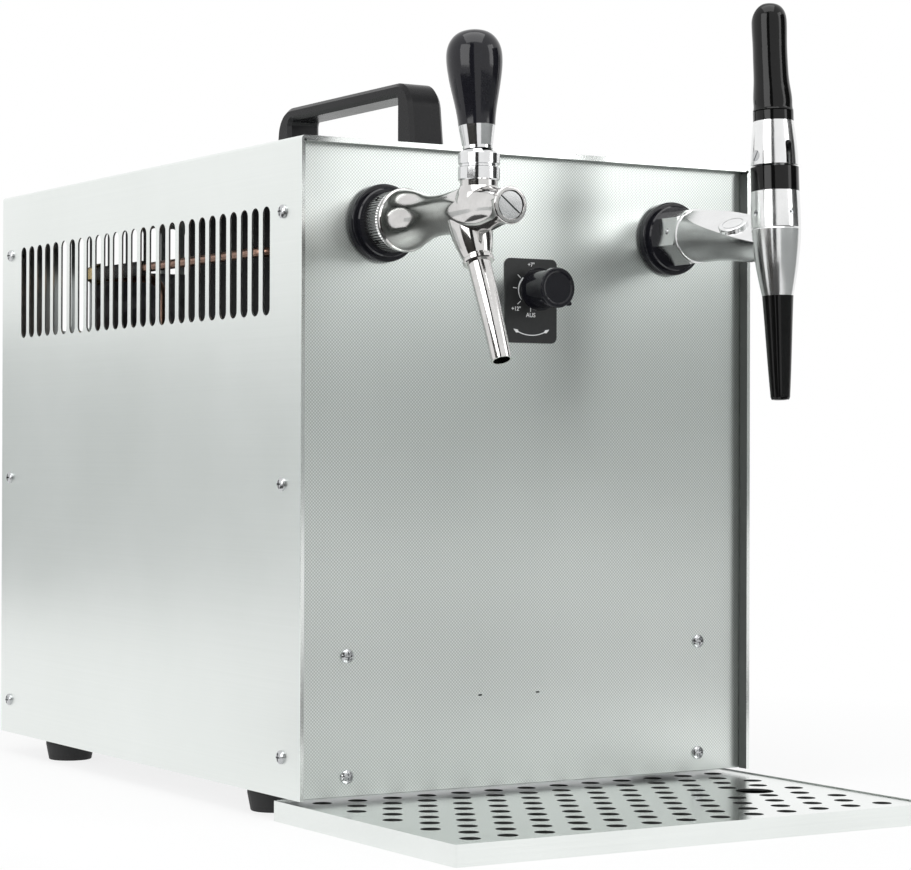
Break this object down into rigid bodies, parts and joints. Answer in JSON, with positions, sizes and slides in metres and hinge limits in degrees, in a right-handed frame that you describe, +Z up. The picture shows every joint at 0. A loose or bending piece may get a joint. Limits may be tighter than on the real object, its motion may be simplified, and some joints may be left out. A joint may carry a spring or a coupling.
{
  "type": "two tap beer cooler",
  "caption": "Counter-top beer cooler in a vented steel casing with a flow control tap, a stout tap, a thermostat knob, a carry handle and a loose drip tray.",
  "frame": {"origin": "centre of the overall footprint, on the counter", "axes": "+X to the right seen from the front, +Y to the back, +Z up; the taps and the tray point along -Y"},
  "size_m": [0.3436, 0.688, 0.5048],
  "materials": {
    "casing_steel": "fine satin brushed stainless sheet",
    "linen_steel": "stainless sheet with a fine embossed dot pattern",
    "chrome": "polished chrome on brass",
    "stainless": "plain stainless",
    "zinc_steel": "zinc plated sheet",
    "screw_steel": "bright plated steel",
    "black_plastic": "glossy black moulding",
    "satin_black": "satin black moulding",
    "dial_black": "satin black plate with plain light scale marks",
    "black_rubber": "matt rubber",
    "insulation": "black foam case",
    "cast_aluminium": "as cast",
    "copper": "drawn copper tube",
    "brass": "machined brass",
    "black_enamel": "black stoved paint",
    "fin_aluminium": "bright fin sheet"
  },
  "bodies": {
    "casing": {"base_pan": "zinc_steel", "cover_hood": "casing_steel", "front_panel": "linen_steel", "rear_panel": "casing_steel", "hood_screws": "screw_steel", "front_panel_screws": "screw_steel", "rear_panel_screws": "screw_steel", "rubber_feet": "black_rubber", "foot_screws": "screw_steel", "carry_handle": "satin_black", "handle_screws": "screw_steel", "dial_plate": "dial_black", "thermostat_body": "satin_black", "thermostat_nut": "screw_steel", "thermostat_capillary": "copper", "tap_rosettes": "black_plastic", "tap_shanks": "stainless", "shank_nuts": "stainless", "tap_feed_tubes": "stainless", "flow_tap_coupling_nut": "chrome", "flow_tap_body": "chrome", "flow_tap_spout": "chrome", "flow_lever_collar": "chrome", "stout_coupling_nut": "chrome", "stout_tap_body": "chrome", "stout_set_screws": "screw_steel", "stout_nozzle": "black_plastic", "stout_restrictor_disc": "stainless", "stout_lever_cup": "satin_black", "cooling_block": "cast_aluminium", "insulation_jacket": "insulation", "block_brackets": "zinc_steel", "inlet_nipples": "stainless", "inlet_lines": "stainless", "compressor": "black_enamel", "compressor_mounts": "black_rubber", "condenser": "fin_aluminium", "suction_line": "copper", "suction_sleeve": "black_rubber", "suction_nut": "brass", "discharge_line": "copper", "filter_drier": "copper", "capillary_tube": "copper", "fan_shroud": "zinc_steel", "fan_bracket": "zinc_steel", "fan_motor": "black_enamel", "fan_guard": "screw_steel", "power_inlet": "satin_black", "electrical_box": "satin_black"},
    "flow_lever_body": {"flow_lever": "chrome", "flow_lever_grip": "black_plastic"},
    "flow_valve": {"flow_valve_rod": "stainless"},
    "compensator": {"flow_compensator_screw": "chrome"},
    "stout_lever_body": {"stout_lever_sleeve": "chrome", "stout_pivot_screw": "screw_steel", "stout_lever_grip": "satin_black"},
    "knob": {"thermostat_knob": "black_plastic"},
    "fan_rotor": {"fan_blades": "fin_aluminium"},
    "drip_tray": {"drip_tray_pan": "stainless"},
    "tray_grate": {"drip_grate": "stainless"}
  },
  "joints": [
    {"name": "flow_lever_pull", "type": "hinge", "parent": "casing", "child": "flow_lever_body", "pos_m": [-0.1085, -0.2673, 0.383], "axis": [1, 0, 0], "range_deg": [0, 26]},
    {"name": "flow_valve_slide", "type": "slide", "parent": "casing", "child": "flow_valve", "axis": [0, 1, 0], "range_m": [0, 0.0066]},
    {"name": "compensator_turn", "type": "hinge", "parent": "casing", "child": "compensator", "pos_m": [-0.1085, -0.3005, 0.365], "axis": [0, -1, 0], "range_deg": [-90, 90]},
    {"name": "stout_lever_pull", "type": "hinge", "parent": "casing", "child": "stout_lever_body", "pos_m": [0.1085, -0.2661, 0.40856], "axis": [1, 0, 0], "range_deg": [-15, 25]},
    {"name": "thermostat_turn", "type": "hinge", "parent": "casing", "child": "knob", "pos_m": [0, -0.1655, 0.3278], "axis": [0, 1, 0], "range_deg": [-45, 225]},
    {"name": "fan_spin", "type": "hinge", "parent": "casing", "child": "fan_rotor", "pos_m": [0.06, 0.288, 0.165], "axis": [0, 1, 0], "continuous": true},
    {"name": "tray_pull", "type": "slide", "parent": "casing", "child": "drip_tray", "axis": [0, -1, 0], "range_m": [0, 0.25]},
    {"name": "grate_tilt", "type": "hinge", "parent": "drip_tray", "child": "tray_grate", "pos_m": [0, -0.1325, 0.0105], "axis": [-1, 0, 0], "range_deg": [0, 5]}
  ],
  "couplings": [
    {"joint": "flow_valve_slide", "follows": "flow_lever_pull", "m_per_rad": 0.01419}
  ]
}
